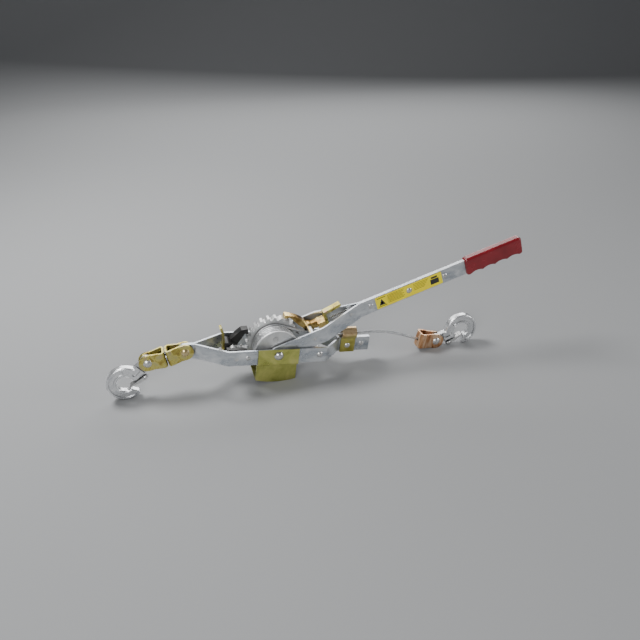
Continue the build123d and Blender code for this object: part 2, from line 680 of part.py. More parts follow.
def holding_pawl():
    """A casting as wide as the frame: a hooked beak at the wheel, a hub on the pin and a near cheek."""
    nose = pawl_nose(HOLD_NOSE_ANGLE)
    wheel_near = WHEEL_INNER_Y + SIDE_GAP
    wheel_far = WHEEL_INNER_Y + WHEEL_THICK + 1.0
    beak_low, _, _, beak_top = nose
    arm = polygon(
        *nose,
        (HOLD_PIN_X + HOLD_HUB_RADIUS - 1, HOLD_PIN_Z + 3),
        (HOLD_PIN_X - 2, HOLD_PIN_Z),
        (HOLD_PIN_X - 4, HOLD_PIN_Z + HOLD_HUB_RADIUS + 5),
        (beak_top[0] - 6.0, beak_low[1] - 1.0),
    )
    pawl = slab(arm, wheel_near, wheel_far)
    pawl += disc(HOLD_PIN_X, HOLD_PIN_Z, HOLD_HUB_RADIUS, -HOLD_HALF_WIDTH, HOLD_HALF_WIDTH)
    cheek = polygon(
        (HOLD_PIN_X - 14, HOLD_PIN_Z - 7),
        (HOLD_PIN_X + 15, HOLD_PIN_Z - 7),
        (HOLD_PIN_X + 18, HOLD_PIN_Z + 10),
        (HOLD_PIN_X + 12, HOLD_PIN_Z + 13),
        (HOLD_PIN_X - 14, HOLD_PIN_Z + 13),
    )
    pawl += slab(cheek, -HOLD_HALF_WIDTH, -HOLD_HALF_WIDTH + 7)
    web = polygon(
        (HOLD_PIN_X - 14, HOLD_PIN_Z - 7),
        (HOLD_PIN_X, HOLD_PIN_Z - 7),
        (HOLD_PIN_X, HOLD_PIN_Z + 7),
        (HOLD_PIN_X - 9, HOLD_PIN_Z + 12),
        (HOLD_PIN_X - 14, HOLD_PIN_Z + 12),
    )
    pawl += slab(web, -HOLD_HALF_WIDTH, HOLD_SPRING_NEAR)
    pawl += slab(web, HOLD_SPRING_FAR, wheel_far)
    bore = PAWL_PIN_RADIUS + RUNNING
    return pawl - disc(HOLD_PIN_X, HOLD_PIN_Z, bore, -HOLD_HALF_WIDTH - 1, HOLD_HALF_WIDTH + 1)


def holding_pawl_lever():
    """The thumb lever on the back of the holding pawl."""
    face = HOLD_PIN_X - 14
    side = polygon(
        (face, HOLD_PIN_Z - 5),
        (face, HOLD_PIN_Z + 16),
        (face - 2.5, HOLD_LEVER_TOP - 7),
        (face - 6.0, HOLD_LEVER_TOP),
        (face - 9.0, HOLD_LEVER_TOP - 1.5),
        (face - 6.0, HOLD_LEVER_TOP - 9),
        (face - 3.5, HOLD_PIN_Z + 16),
        (face - 3.5, HOLD_PIN_Z - 5),
    )
    mid = WHEEL_INNER_Y - 1
    return slab(side, mid - HOLD_LEVER_WIDTH / 2, mid + HOLD_LEVER_WIDTH / 2)


def holding_pawl_spring():
    """The close-wound wire spring round the holding pawl's hub, with one leg standing up."""
    ring = HOLD_HUB_RADIUS + NODE_GAP + HOLD_SPRING_WIRE / 2
    pitch = HOLD_SPRING_WIRE * 0.96
    first_y = HOLD_SPRING_NEAR + HOLD_SPRING_WIRE / 2 + NODE_GAP
    leg_length = 2 * HOLD_HUB_RADIUS
    spring = Pos(HOLD_PIN_X + ring, first_y, HOLD_PIN_Z + leg_length / 2) * Cylinder(HOLD_SPRING_WIRE / 2, leg_length)
    for turn in range(HOLD_SPRING_TURNS):
        spring += Pos(HOLD_PIN_X, first_y + turn * pitch, HOLD_PIN_Z) * Rot(90, 0, 0) * Torus(ring, HOLD_SPRING_WIRE / 2)
    return spring


# Clevises and swivel ----------------------------------------------------------------------------------------


def clevis(reach, grip, hole):
    """A bent strip. Its closed end stands on X = 0 and its arms close in on a pin at X = reach."""
    half = CLEVIS_SHEET / 2
    arm_y = grip / 2 + half
    end_x = reach + CLEVIS_WIDTH / 2
    points = [
        (end_x, arm_y),
        (reach - 9, arm_y),
        (half + CLEVIS_CORNER, CLEVIS_BACK_HALF - half),
        (half, CLEVIS_BACK_HALF - half - CLEVIS_CORNER),
    ]
    points += [(x, -y) for x, y in reversed(points)]
    path = FilletPolyline(*[(x, y, 0) for x, y in points], radius=CLEVIS_SHEET)
    start = Plane(origin=path @ 0, x_dir=(0, 0, 1), z_dir=path % 0)
    strip = sweep(start * Rectangle(CLEVIS_WIDTH, CLEVIS_SHEET), path=path)
    size = 2 * CLEVIS_WIDTH
    corner = Pos(reach + size / 2, 0) * Rectangle(size, size) - Pos(reach, 0) * Circle(CLEVIS_WIDTH / 2)
    strip -= slab(corner, -size, size)
    strip -= disc(reach, 0, CLEVIS_PIN_RADIUS, -size, size)
    return strip - Rot(0, 90, 0) * Cylinder(hole, 4 * CLEVIS_SHEET)


def clevis_pin(grip):
    end = grip / 2 + CLEVIS_SHEET
    return rivet(0, 0, CLEVIS_PIN_RADIUS, CLEVIS_PIN_HEAD, -end, end, 2.6)


def chain_frame(origin, direction, turned):
    """A place in X and Z whose own X points along direction; turned swings it to point at the anchor side."""
    x, z = origin
    if turned:
        return Pos(x, 0, z) * Rot(0, -direction, 0) * Rot(0, 0, 180)
    return Pos(x, 0, z) * Rot(0, -direction, 0)


def anchor_place():
    return chain_frame(TONGUE_PIN, CHAIN_ANGLE, True)


def hook_pin_distance():
    return 2 * CLEVIS_REACH + SWIVEL_GAP


def tongue_grip():
    return 2 * STRAP_THICK + 2 * SIDE_GAP


def hook_grip():
    return HOOK_EYE_THICK + 2 * SIDE_GAP


def frame_clevis():
    return anchor_place() * Pos(CLEVIS_REACH, 0, 0) * Rot(0, 0, 180) * clevis(
        CLEVIS_REACH, tongue_grip(), SWIVEL_RADIUS
    )


def frame_clevis_pin():
    return anchor_place() * clevis_pin(tongue_grip())


def hook_clevis():
    start = CLEVIS_REACH + SWIVEL_GAP
    return anchor_place() * Pos(start, 0, 0) * clevis(CLEVIS_REACH, hook_grip(), SWIVEL_RADIUS + RUNNING)


def hook_clevis_pin():
    return anchor_place() * Pos(hook_pin_distance(), 0, 0) * clevis_pin(hook_grip())


def swivel_rivet():
    """Headed inside both clevises; fast in the frame's clevis and free in the hook's."""
    inner_end = CLEVIS_REACH - CLEVIS_SHEET
    outer_end = CLEVIS_REACH + SWIVEL_GAP + CLEVIS_SHEET + SIDE_GAP
    length = outer_end - inner_end
    along = Rot(0, 90, 0)
    shank = Pos(inner_end + length / 2, 0, 0) * along * Cylinder(SWIVEL_RADIUS, length)
    inner_head = Pos(inner_end - SWIVEL_HEAD / 2, 0, 0) * along * Cylinder(SWIVEL_HEAD_RADIUS, SWIVEL_HEAD)
    outer_head = Pos(outer_end + SWIVEL_HEAD / 2, 0, 0) * along * Cylinder(SWIVEL_HEAD_RADIUS, SWIVEL_HEAD)
    return anchor_place() * (shank + inner_head + outer_head)


def swivel_washer():
    thick = SWIVEL_GAP - SIDE_GAP
    ring = extrude(Circle(SWIVEL_RADIUS + 4) - Circle(SWIVEL_RADIUS), amount=thick)
    return anchor_place() * Pos(CLEVIS_REACH, 0, 0) * Rot(0, 90, 0) * ring


def cable_place():
    """The rope's clevis, from the outside of its closed end."""
    back_x = CABLE_PIN[0] - CABLE_CLEVIS_REACH * cos(radians(CABLE_END_ANGLE))
    back_z = CABLE_PIN[1] - CABLE_CLEVIS_REACH * sin(radians(CABLE_END_ANGLE))
    return chain_frame((back_x, back_z), CABLE_END_ANGLE, False)


def cable_clevis():
    return cable_place() * clevis(CABLE_CLEVIS_REACH, hook_grip(), ROPE_RADIUS + 0.9)


def cable_clevis_pin():
    return chain_frame(CABLE_PIN, CABLE_END_ANGLE, False) * clevis_pin(hook_grip())


def cable_stop(rope):
    """The sleeve swaged on the end of the rope, inside the clevis."""
    end_x, _, end_z = ROPE_ROUTE[-1]
    last_x, _, last_z = ROPE_ROUTE[-2]
    slope = degrees(atan2(end_z - last_z, end_x - last_x))
    body = Pos(-STOP_LENGTH / 2, 0, 0) * Rot(0, 90, 0) * Cylinder(STOP_RADIUS, STOP_LENGTH)
    body = chamfer(body.edges().filter_by(GeomType.CIRCLE), 0.8)
    return chain_frame((end_x, end_z), slope, False) * body - rope


# Hooks ------------------------------------------------------------------------------------------------------


def hook_outline():
    """The side view of the shank and bowl, without the eye."""

    def around(radius, angle):
        x, z = polar(radius, angle)
        return (HOOK_REACH + x, z)

    heel = around(HOOK_BOWL, HOOK_HEEL_ANGLE)
    lip = around(HOOK_BOWL, HOOK_LIP_ANGLE)
    tip = around(HOOK_OUTER, HOOK_TIP_ANGLE)
    shoulder = around(HOOK_OUTER, 180 - degrees(atan2(HOOK_SHANK, (HOOK_OUTER**2 - HOOK_SHANK**2) ** 0.5)))
    bowl = ThreePointArc(heel, around(HOOK_BOWL, 63), lip)
    back = ThreePointArc(tip, around(HOOK_OUTER, 30), shoulder)
    shank_end = -HOOK_EYE_RADIUS / 2
    shank = Polyline(
        shoulder, (shank_end, HOOK_SHANK), (shank_end, -HOOK_SHANK), (heel[0] - HOOK_BOWL * 0.4, -HOOK_SHANK), heel
    )
    outline = make_face(Curve() + [bowl, Line(lip, tip), back, shank])
    corners = outline.vertices().filter_by(lambda corner: corner.X > 0)
    return fillet(corners, HOOK_ROUNDING + 0.8)


def hook():
    """A forged hook. Its eye is at the origin, its bowl lies along X and its tip points to -Z."""
    half = HOOK_THICK / 2
    body = slab(hook_outline(), -half, half)
    body = fillet(hook_rims(body, half), HOOK_ROUNDING)
    body += disc(0, 0, HOOK_EYE_RADIUS, -HOOK_EYE_THICK / 2, HOOK_EYE_THICK / 2)
    clear = HOOK_EYE_RADIUS + 4
    for side in (-1, 1):
        cheek_y = side * (HOOK_EYE_THICK / 2 + half) / 2
        thick = half - HOOK_EYE_THICK / 2
        body -= Pos(clear / 2 - 12, cheek_y, 0) * Box(clear + 24, thick, 4 * HOOK_SHANK)
        body -= hook_panels(side, half)
    body += hook_lug()
    body -= disc(*LATCH_PIVOT, LATCH_PIN_RADIUS, -half, half)
    return body - disc(0, 0, CLEVIS_PIN_RADIUS + RUNNING, -half, half)


def hook_rims(body, half):
    return body.edges().filter_by(lambda e: abs(abs(e.center().Y) - half) < 0.01)


def hook_panels(side, half):
    """The recess round the bowl and the slot in the shank, on one face."""
    mid = (HOOK_OUTER + HOOK_BOWL) / 2
    band = (HOOK_OUTER - HOOK_BOWL) * 0.24
    ring = Circle(mid + band) - Circle(mid - band)
    keep = polygon(
        (0, 0),
        polar(3 * HOOK_OUTER, 128),
        polar(3 * HOOK_OUTER, 64),
        polar(3 * HOOK_OUTER, 0),
        polar(3 * HOOK_OUTER, -60),
        polar(3 * HOOK_OUTER, HOOK_LIP_ANGLE - 360),
    )
    panel = Pos(HOOK_REACH, 0) * (ring & keep)
    panel += Pos(HOOK_REACH - 25.5, 1.5) * SlotOverall(15.0, 7.0)
    y_face = side * half
    y_floor = side * (half - HOOK_PANEL_DEPTH)
    return slab(panel, min(y_face, y_floor), max(y_face, y_floor))


def hook_lug():
    """The ear that carries the latch."""
    pivot_x, pivot_z = LATCH_PIVOT
    neck = polygon(
        (pivot_x - LATCH_LUG_RADIUS, pivot_z),
        (pivot_x - LATCH_LUG_RADIUS - 2, 0),
        (pivot_x + LATCH_LUG_RADIUS, 0),
        (pivot_x + LATCH_LUG_RADIUS, pivot_z),
    )
    ear = Pos(pivot_x, pivot_z) * Circle(LATCH_LUG_RADIUS)
    return slab(neck + ear, -LATCH_LUG_HALF, LATCH_LUG_HALF)


def latch():
    """A folded sheet: two cheeks on the pin and a web that closes the hook's mouth from inside."""
    pivot_x, pivot_z = LATCH_PIVOT
    tip = (HOOK_REACH - 0.5, -HOOK_BOWL + 2.6)
    lean = atan2(tip[1] - pivot_z, tip[0] - pivot_x)
    along = (cos(lean), sin(lean))
    across = (-sin(lean), cos(lean))

    def at(distance, height):
        return (
            pivot_x + distance * along[0] + height * across[0],
            pivot_z + distance * along[1] + height * across[1],
        )

    length = hypot(tip[0] - pivot_x, tip[1] - pivot_z)
    cheek_outline = polygon(
        at(0, LATCH_DEPTH / 2),
        at(length, LATCH_DEPTH / 2 - 1.5),
        at(length, LATCH_DEPTH / 2 - 3),
        at(length * 0.4, -LATCH_DEPTH / 2),
        at(0, -LATCH_DEPTH / 2),
    ) + Pos(pivot_x, pivot_z) * Circle(LATCH_DEPTH / 2 + 0.6)
    web_start = LATCH_LUG_RADIUS + 1.2
    web_outline = polygon(
        at(web_start, LATCH_DEPTH / 2),
        at(length, LATCH_DEPTH / 2 - 1.5),
        at(length, LATCH_DEPTH / 2 - 1.5 - LATCH_SHEET),
        at(web_start, LATCH_DEPTH / 2 - LATCH_SHEET),
    )
    body = slab(web_outline, -LATCH_HALF_WIDTH, LATCH_HALF_WIDTH)
    for side in (-1, 1):
        y_in = side * (LATCH_HALF_WIDTH - LATCH_SHEET)
        y_out = side * LATCH_HALF_WIDTH
        body += slab(cheek_outline, min(y_in, y_out), max(y_in, y_out))
    return body - disc(pivot_x, pivot_z, LATCH_PIN_RADIUS + RUNNING / 2, -HOOK_THICK, HOOK_THICK)


def latch_pin():
    pivot_x, pivot_z = LATCH_PIVOT
    end = LATCH_HALF_WIDTH + SIDE_GAP
    return rivet(pivot_x, pivot_z, LATCH_PIN_RADIUS, LATCH_PIN_RADIUS + 1.2, -end, end, 1.1)


def latch_spring():
    """A small spring coiled on the latch's pin, beside the lug."""
    pivot_x, pivot_z = LATCH_PIVOT
    radius = LATCH_PIN_RADIUS + (SIDE_GAP + LATCH_SPRING_WIRE) / 2 + RUNNING
    turns = coil(radius, LATCH_SPRING_WIRE, LATCH_SPRING_WIRE * 1.2, LATCH_SPRING_LENGTH)
    y_far = LATCH_LUG_HALF + RUNNING * 2 + LATCH_SPRING_WIRE / 2 + LATCH_SPRING_LENGTH
    return Pos(pivot_x, y_far, pivot_z) * Rot(90, 0, 0) * turns


def anchor_hook_place():
    return anchor_place() * Pos(hook_pin_distance(), 0, 0) * Rot(0, ANCHOR_HOOK_TURN, 0)


def cable_hook_place():
    return chain_frame(CABLE_PIN, CABLE_END_ANGLE + CABLE_HOOK_TURN, False)


# The whole winch --------------------------------------------------------------------------------------------


def winch():
    """Every piece in axle coordinates, by name."""
    frame_near = frame_strap_near()
    rope = cable_free()
    pieces = {
        "frame_strap_near": frame_near,
        "frame_strap_far": mirrored(frame_near),
        "frame_spacer": frame_spacer(),
        "frame_rivets": frame_rivets(),
        "drum_guard": drum_guard(),
        "axle_bolt": axle_bolt(),
        "axle_nut": axle_nut(),
        "cable_guide": cable_guide(),
        "cable_guide_rivet": cable_guide_rivet(),
        "cable_drum": cable_drum(),
        "cable_clamp_screw": cable_clamp_screw(),
        "drum_bush": drum_bush(),
        "cable_winding": cable_winding(),
        "cable_lead": cable_lead(),
        "cable_free": rope,
        "cable_stop": cable_stop(rope),
        "handle_strap_near": handle_strap_near(),
        "handle_strap_far": handle_strap_far(),
        "handle_rivets": handle_rivets(),
        "handle_label": handle_label(),
        "handle_grip": handle_grip(),
        "drive_pawl_pin": drive_pawl_pin(),
        "drive_pawl_spacer": drive_pawl_spacer(),
        "drive_pawl": drive_pawl(),
        "drive_pawl_lever": drive_pawl_lever(),
        "drive_pawl_spring": drive_pawl_spring(),
        "drive_spring_anchor": drive_spring_anchor(),
        "holding_pawl_pin": holding_pawl_pin(),
        "holding_pawl": holding_pawl(),
        "holding_pawl_lever": holding_pawl_lever(),
        "holding_pawl_spring": holding_pawl_spring(),
        "frame_clevis": frame_clevis(),
        "frame_clevis_pin": frame_clevis_pin(),
        "swivel_rivet": swivel_rivet(),
        "swivel_washer": swivel_washer(),
        "hook_clevis": hook_clevis(),
        "hook_clevis_pin": hook_clevis_pin(),
        "cable_clevis": cable_clevis(),
        "cable_clevis_pin": cable_clevis_pin(),
    }
    makers = {"hook": hook(), "latch": latch(), "latch_pin": latch_pin(), "latch_spring": latch_spring()}
    for side, place in (("anchor", anchor_hook_place()), ("cable", cable_hook_place())):
        for name, shape in makers.items():
            pieces[f"{side}_{name}"] = place * shape
    return pieces


CORD_PIECES = ("cable_free", "cable_stop", "cable_clevis", "cable_clevis_pin")
CORD_PIECES += ("cable_hook", "cable_latch", "cable_latch_pin", "cable_latch_spring")


def lying_place(pieces):
    """Where the axle goes when the winch lies on the floor, with its footprint's middle at the origin."""
    tilt = Rot(0, LYING_TILT, 0)
    boxes = {name: (tilt * shape).bounding_box() for name, shape in pieces.items()}
    own = [box for name, box in boxes.items() if name not in CORD_PIECES]
    middle_x = (min(box.min.X for box in own) + max(box.max.X for box in own)) / 2
    middle_y = (min(box.min.Y for box in own) + max(box.max.Y for box in own)) / 2
    lowest = min(box.min.Z for box in boxes.values())
    for name, box in sorted(boxes.items(), key=lambda item: item[1].min.Z)[:5]:
        print(f"{name} stands {box.min.Z - lowest:.2f} above the floor")
    print(f"axle at {-middle_x:.3f} {-middle_y:.3f} {-lowest:.3f}")
    return Pos(-middle_x, -middle_y, -lowest) * tilt


def main():
    os.makedirs("parts", exist_ok=True)
    pieces = winch()
    place = lying_place(pieces)
    for name, shape in pieces.items():
        export_step(place * shape, f"parts/{name}.step")


main()
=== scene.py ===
"""How the come along winch looks: its materials, its cords, and the floor, light and camera around it."""

from math import cos, pi, radians, sin

import bpy
from mathutils import Matrix, Vector


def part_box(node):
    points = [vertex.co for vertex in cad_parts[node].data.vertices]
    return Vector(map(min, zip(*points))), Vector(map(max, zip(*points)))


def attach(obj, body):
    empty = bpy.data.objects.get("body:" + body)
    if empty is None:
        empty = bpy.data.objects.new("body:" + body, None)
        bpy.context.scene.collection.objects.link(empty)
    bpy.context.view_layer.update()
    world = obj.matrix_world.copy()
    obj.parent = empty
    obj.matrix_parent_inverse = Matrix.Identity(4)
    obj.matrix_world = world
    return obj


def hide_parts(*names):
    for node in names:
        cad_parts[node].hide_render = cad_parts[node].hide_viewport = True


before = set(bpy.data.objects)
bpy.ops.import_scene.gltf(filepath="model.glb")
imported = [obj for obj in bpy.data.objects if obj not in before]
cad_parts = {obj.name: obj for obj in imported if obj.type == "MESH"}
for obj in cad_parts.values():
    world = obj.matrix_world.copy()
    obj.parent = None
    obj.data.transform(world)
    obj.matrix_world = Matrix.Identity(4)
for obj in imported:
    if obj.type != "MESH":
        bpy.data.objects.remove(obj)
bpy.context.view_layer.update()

# Where the winch's own axle coordinates, in millimetres, lie in the row frame
LYING_TILT = radians(7.24)
MM = 0.001


def axle_place():
    lowest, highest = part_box("drum_bush")
    return Vector(((lowest.x + highest.x) / 2, 0.0, (lowest.z + highest.z) / 2))


AXLE = axle_place()


def place(x, y, z):
    """A point from axle coordinates, in millimetres, to the row frame, in metres."""
    along = (x * cos(LYING_TILT) + z * sin(LYING_TILT)) * MM
    up = (-x * sin(LYING_TILT) + z * cos(LYING_TILT)) * MM
    return AXLE + Vector((along, y * MM, up))


# Camera -----------------------------------------------------------------------------------------------------

CAMERA_AT = (-236.0, -870.0, 536.0)
CAMERA_AZIMUTH = radians(15.65)
CAMERA_ELEVATION = radians(30.25)
CAMERA_ROLL = radians(-0.59)
CAMERA_LENS = 36.3
SENSOR = 36.0
# As a share of the picture's width
CAMERA_SHIFT_Y = -0.0008


def linked(name, data):
    """A new object in the scene, with the given data."""
    made = bpy.data.objects.new(name, data)
    bpy.context.scene.collection.objects.link(made)
    return made


def add_camera():
    data = bpy.data.cameras.new("camera")
    data.lens = CAMERA_LENS
    data.sensor_width = SENSOR
    data.sensor_fit = "HORIZONTAL"
    data.shift_y = CAMERA_SHIFT_Y
    data.clip_start = 0.01
    data.clip_end = 20.0
    heading = Matrix.Rotation(-CAMERA_AZIMUTH, 4, "Z")
    pitch = Matrix.Rotation(pi / 2 - CAMERA_ELEVATION, 4, "X")
    roll = Matrix.Rotation(CAMERA_ROLL, 4, "Z")
    camera = linked("camera", data)
    camera.matrix_world = Matrix.Translation(place(*CAMERA_AT)) @ heading @ pitch @ roll
    bpy.context.scene.camera = camera


add_camera()

# Materials --------------------------------------------------------------------------------------------------


def new_material(name):
    """A material with its node tree and its shader."""
    material = bpy.data.materials.new(name)
    material.use_nodes = True
    tree = material.node_tree
    shader = tree.nodes["Principled BSDF"]
    return material, tree, shader


def node(tree, kind, **inputs):
    """A new node with some of its inputs set; an underscore in a key stands for a space."""
    made = tree.nodes.new(kind)
    for key, value in inputs.items():
        made.inputs[key.replace("_", " ")].default_value = value
    return made


def coordinates(tree, stretch=(1, 1, 1), tilt=0.0):
    """Object coordinates in the winch's attitude, stretched along its own directions."""
    source = tree.nodes.new("ShaderNodeTexCoord")
    mapping = tree.nodes.new("ShaderNodeMapping")
    mapping.vector_type = "POINT"
    mapping.inputs["Rotation"].default_value = (0.0, tilt, 0.0)
    mapping.inputs["Scale"].default_value = stretch
    tree.links.new(source.outputs["Object"], mapping.inputs["Vector"])
    return mapping.outputs["Vector"]


def noise(tree, vector, scale, detail=4.0, roughness=0.55, distortion=0.0):
    made = node(
        tree, "ShaderNodeTexNoise", Scale=scale, Detail=detail, Roughness=roughness, Distortion=distortion
    )
    tree.links.new(vector, made.inputs["Vector"])
    return made.outputs["Fac"]


def ramp(tree, value, *stops):
    """Colours along a value: each stop is a place and an (r, g, b)."""
    made = tree.nodes.new("ShaderNodeValToRGB")
    elements = made.color_ramp.elements
    while len(elements) < len(stops):
        elements.new(0.5)
    for element, (position, colour) in zip(elements, stops):
        element.position = position
        element.color = (*colour, 1.0)
    tree.links.new(value, made.inputs["Fac"])
    return made.outputs["Color"]


def grey(tree, value, *stops):
    """A ramp of greys: each stop is a place and a level."""
    return ramp(tree, value, *[(position, (level, level, level)) for position, level in stops])


def mix(tree, first, second, factor, kind="MIX"):
    """Two colours mixed by a number or by another node's output."""
    made = tree.nodes.new("ShaderNodeMix")
    made.data_type = "RGBA"
    made.blend_type = kind
    if isinstance(factor, (int, float)):
        made.inputs[0].default_value = factor
    else:
        tree.links.new(factor, made.inputs[0])
    for index, value in ((6, first), (7, second)):
        if isinstance(value, tuple):
            made.inputs[index].default_value = (*value, 1.0)
        else:
            tree.links.new(value, made.inputs[index])
    return made.outputs[2]


def bump(tree, shader, height, strength, distance):
    made = node(tree, "ShaderNodeBump", Strength=strength, Distance=distance)
    tree.links.new(height, made.inputs["Height"])
    tree.links.new(made.outputs["Normal"], shader.inputs["Normal"])


def painted_hollow_shade(tree, colour, depth=0.22, distance=0.009):
    """The colour, darkened by painted shade in corners and round the feet of rivets, from ambient occlusion.
    """
    hollow = tree.nodes.new("ShaderNodeAmbientOcclusion")
    hollow.samples = 6
    hollow.inputs["Distance"].default_value = distance
    shade = grey(tree, hollow.outputs["AO"], (0.30, depth), (0.75, 1.0))
    return mix(tree, colour, shade, 1.0, "MULTIPLY")


def plated(
    name,
    stops,
    roughness,
    metallic=0.85,
    scale=38.0,
    streak=(1, 1, 1),
    tilt=0.0,
    bumpy=0.12,
    grain=900.0,
    hollow=0.009,
):
    """A plated or bare metal: cloudy colour, uneven polish and a fine grain."""
    material, tree, shader = new_material(name)
    vector = coordinates(tree, streak, tilt)
    cloud = noise(tree, vector, scale, 6.0, 0.6, 0.4)
    colour = ramp(tree, cloud, *stops)
    # Painted shade: ambient occlusion darkens the colour in corners and round rivets.
    tree.links.new(painted_hollow_shade(tree, colour, distance=hollow), shader.inputs["Base Color"])
    fine = noise(tree, coordinates(tree), grain, 3.0, 0.7)
    low, high = roughness
    tree.links.new(grey(tree, cloud, (0.3, low), (0.7, high)), shader.inputs["Roughness"])
    shader.inputs["Metallic"].default_value = metallic
    bump(tree, shader, fine, bumpy, 0.0004)
    return material


def galvanized():
    return plated(
        "galvanized",
        [(0.34, (0.38, 0.42, 0.47)), (0.50, (0.60, 0.63, 0.66)), (0.66, (0.82, 0.84, 0.86))],
        (0.22, 0.38),
        scale=42.0,
        streak=(0.6, 1, 1.4),
        tilt=LYING_TILT,
        bumpy=0.15,
    )


def yellow_zinc():
    return plated(
        "yellow_zinc",
        [
            (0.26, (0.22, 0.11, 0.07)),
            (0.38, (0.42, 0.33, 0.07)),
            (0.50, (0.66, 0.58, 0.16)),
            (0.60, (0.54, 0.50, 0.22)),
            (0.70, (0.66, 0.38, 0.26)),
            (0.82, (0.56, 0.60, 0.34)),
        ],
        (0.20, 0.36),
        scale=85.0,
        bumpy=0.10,
    )


def guard_zinc():
    return plated(
        "guard_zinc",
        [
            (0.30, (0.34, 0.35, 0.08)),
            (0.46, (0.50, 0.51, 0.14)),
            (0.60, (0.64, 0.62, 0.20)),
            (0.74, (0.50, 0.50, 0.36)),
        ],
        (0.24, 0.40),
        metallic=0.80,
        scale=34.0,
        # Painted shade reaches farther on the guard, into the step under its flanges.
        hollow=0.022,
    )


def guide_zinc():
    """Copper-gold over the arch, olive down the legs."""
    material, tree, shader = new_material("guide_zinc")
    cloud = noise(tree, coordinates(tree), 55.0, 5.0)
    low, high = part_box("cable_guide")
    height = tree.nodes.new("ShaderNodeMapRange")
    height.inputs["From Min"].default_value = low.z + (high.z - low.z) * 0.62
    height.inputs["From Max"].default_value = low.z + (high.z - low.z) * 0.80
    source = tree.nodes.new("ShaderNodeTexCoord")
    upright = tree.nodes.new("ShaderNodeSeparateXYZ")
    tree.links.new(source.outputs["Object"], upright.inputs["Vector"])
    tree.links.new(upright.outputs["Z"], height.inputs["Value"])
    olives = [(0.3, (0.34, 0.30, 0.06)), (0.55, (0.60, 0.54, 0.14)), (0.75, (0.48, 0.46, 0.24))]
    coppers = [(0.3, (0.50, 0.26, 0.10)), (0.5, (0.86, 0.64, 0.36)), (0.75, (0.62, 0.36, 0.20))]
    olive = ramp(tree, cloud, *olives)
    copper = ramp(tree, cloud, *coppers)
    colour = mix(tree, olive, copper, height.outputs["Result"])
    # Painted shade: ambient occlusion darkens the colour in corners and round the rivet.
    tree.links.new(painted_hollow_shade(tree, colour), shader.inputs["Base Color"])
    shader.inputs["Metallic"].default_value = 0.9
    shader.inputs["Roughness"].default_value = 0.28
    return material


def copper_zinc():
    return plated(
        "copper_zinc",
        [
            (0.30, (0.30, 0.11, 0.05)),
            (0.46, (0.62, 0.31, 0.14)),
            (0.58, (0.84, 0.60, 0.40)),
            (0.74, (0.58, 0.36, 0.22)),
        ],
        (0.24, 0.40),
        metallic=0.9,
        scale=48.0,
        streak=(2.4, 2.4, 0.5),
        tilt=LYING_TILT,
        bumpy=0.10,
    )


def forged():
    return plated(
        "forged",
        [(0.30, (0.62, 0.63, 0.65)), (0.50, (0.80, 0.81, 0.82)), (0.72, (0.92, 0.925, 0.93))],
        (0.20, 0.34),
        scale=70.0,
        bumpy=0.30,
        grain=420.0,
    )


def cast_drum():
    return plated(
        "cast_drum",
        [(0.30, (0.60, 0.61, 0.61)), (0.52, (0.76, 0.765, 0.76)), (0.74, (0.88, 0.885, 0.88))],
        (0.34, 0.52),
        metallic=0.75,
        scale=60.0,
        bumpy=0.35,
        grain=650.0,
    )


def bright_steel():
    return plated(
        "bright_steel",
        [(0.30, (0.56, 0.56, 0.56)), (0.55, (0.72, 0.72, 0.71)), (0.78, (0.82, 0.82, 0.80))],
        (0.20, 0.36),
        metallic=0.9,
        scale=120.0,
        bumpy=0.15,
    )


def gold_steel():
    return plated(
        "gold_steel",
        [(0.30, (0.42, 0.30, 0.12)), (0.55, (0.72, 0.58, 0.30)), (0.78, (0.82, 0.76, 0.58))],
        (0.20, 0.36),
        metallic=0.9,
        scale=160.0,
    )


def bronze():
    return plated(
        "bronze",
        [
            (0.28, (0.16, 0.08, 0.02)),
            (0.44, (0.46, 0.27, 0.07)),
            (0.58, (0.80, 0.60, 0.22)),
            (0.76, (0.66, 0.44, 0.26)),
        ],
        (0.14, 0.30),
        metallic=0.9,
        scale=46.0,
    )


def black_casting():
    material, tree, shader = new_material("black_casting")
    vector = coordinates(tree)
    cloud = noise(tree, vector, 90.0, 5.0)
    colour = ramp(tree, cloud, (0.3, (0.012, 0.012, 0.013)), (0.7, (0.045, 0.044, 0.042)))
    tree.links.new(colour, shader.inputs["Base Color"])
    tree.links.new(grey(tree, cloud, (0.3, 0.34), (0.7, 0.52)), shader.inputs["Roughness"])
    shader.inputs["Metallic"].default_value = 0.3
    bump(tree, shader, noise(tree, vector, 700.0), 0.3, 0.0004)
    return material


def spring_steel():
    return plated(
        "spring_steel",
        [(0.30, (0.50, 0.50, 0.49)), (0.70, (0.78, 0.78, 0.76))],
        (0.22, 0.34),
        metallic=0.9,
        scale=200.0,
    )


def brass_bush():
    return plated(
        "brass_bush", [(0.30, (0.46, 0.33, 0.13)), (0.70, (0.70, 0.54, 0.27))], (0.25, 0.4), scale=120.0
    )


def vinyl():
    material, tree, shader = new_material("vinyl")
    vector = coordinates(tree)
    cloud = noise(tree, vector, 40.0, 4.0)
    colour = ramp(tree, cloud, (0.3, (0.17, 0.004, 0.009)), (0.7, (0.25, 0.009, 0.016)))
    tree.links.new(colour, shader.inputs["Base Color"])
    tree.links.new(grey(tree, cloud, (0.3, 0.20), (0.7, 0.30)), shader.inputs["Roughness"])
    shader.inputs["Coat Weight"].default_value = 0.5
    shader.inputs["Coat Roughness"].default_value = 0.12
    bump(tree, shader, noise(tree, vector, 240.0, 2.0), 0.08, 0.001)
    return material


def rope_steel():
    return plated(
        "rope_steel",
        [(0.28, (0.50, 0.51, 0.52)), (0.5, (0.68, 0.69, 0.70)), (0.75, (0.84, 0.85, 0.85))],
        (0.30, 0.46),
        scale=220.0,
        bumpy=0.2,
    )


